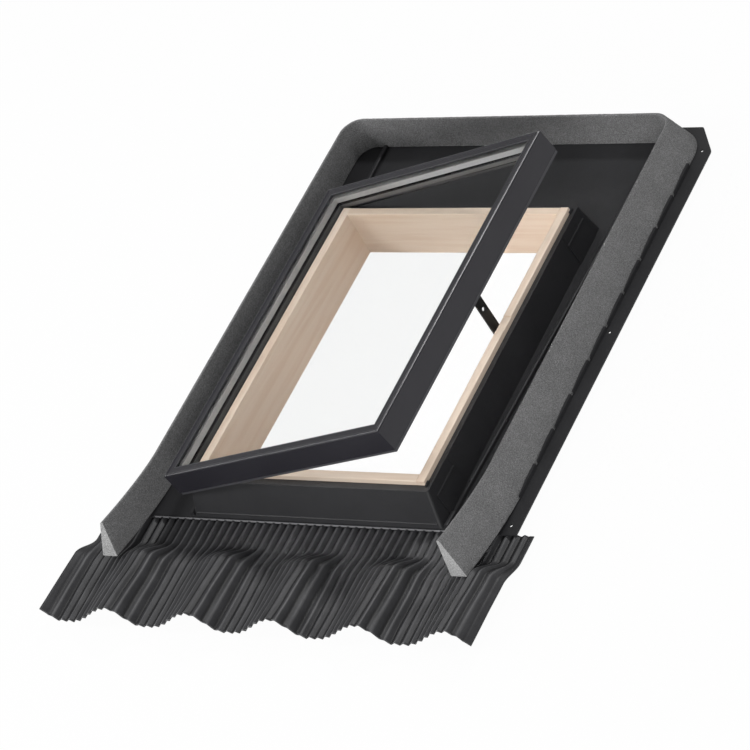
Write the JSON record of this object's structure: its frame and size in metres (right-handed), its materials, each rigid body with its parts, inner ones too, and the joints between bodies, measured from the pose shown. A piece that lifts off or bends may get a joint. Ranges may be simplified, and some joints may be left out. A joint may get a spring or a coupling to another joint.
{
  "type": "roof hatch",
  "caption": "Side-hung glazed roof access hatch, part open, on a timber frame in a moulded flashing tray with a foam collar, a pleated apron and a stay bar.",
  "frame": {"origin": "middle of the whole part's bounding box at the timber frame's underside", "axes": "+X along the eaves away from the hinges, +Y up the roof slope, +Z out of the roof"},
  "size_m": [0.764, 1, 0.2179],
  "materials": {
    "pine": "satin",
    "zinc_steel": "satin",
    "tray": "matte",
    "foam": "matte",
    "apron": "satin",
    "sash": "satin",
    "glass": "gloss",
    "spacer": "satin",
    "seal": "matte",
    "dark_steel": "satin"
  },
  "bodies": {
    "frame": {"frame_head": "pine", "frame_sill": "pine", "frame_jamb_left": "pine", "frame_jamb_right": "pine", "frame_screws": "zinc_steel", "flashing_tray": "tray", "foam_collar": "foam", "pleated_apron": "apron", "apron_clamp": "zinc_steel", "stay_peg": "dark_steel", "hinge_cover_lower": "tray", "hinge_cover_upper": "tray", "hinge_bracket_lower": "tray", "hinge_bracket_upper": "tray"},
    "sash": {"sash_left": "sash", "sash_right": "sash", "sash_top": "sash", "sash_bottom": "sash", "outer_pane": "glass", "inner_pane": "glass", "spacer_bar": "spacer", "edge_seal": "seal", "glazing_gasket": "seal", "rim_seal": "seal", "skirt_lip": "seal", "stay_bracket": "dark_steel", "stay_pin": "dark_steel", "hinge_leaf_lower": "dark_steel", "hinge_leaf_upper": "dark_steel", "hinge_pin_lower": "zinc_steel", "hinge_pin_upper": "zinc_steel"},
    "stay": {"stay_bar": "dark_steel"}
  },
  "joints": [
    {"name": "sash_hinge", "type": "hinge", "parent": "frame", "child": "sash", "pos_m": [-0.221, 0.006, 0.071], "axis": [0, -1, 0], "range_deg": [-15, 60]},
    {"name": "stay_swing", "type": "hinge", "parent": "sash", "child": "stay", "pos_m": [0.1726, 0.041, 0.1715], "axis": [0, -1, 0], "range_deg": [-78, 0]}
  ]
}
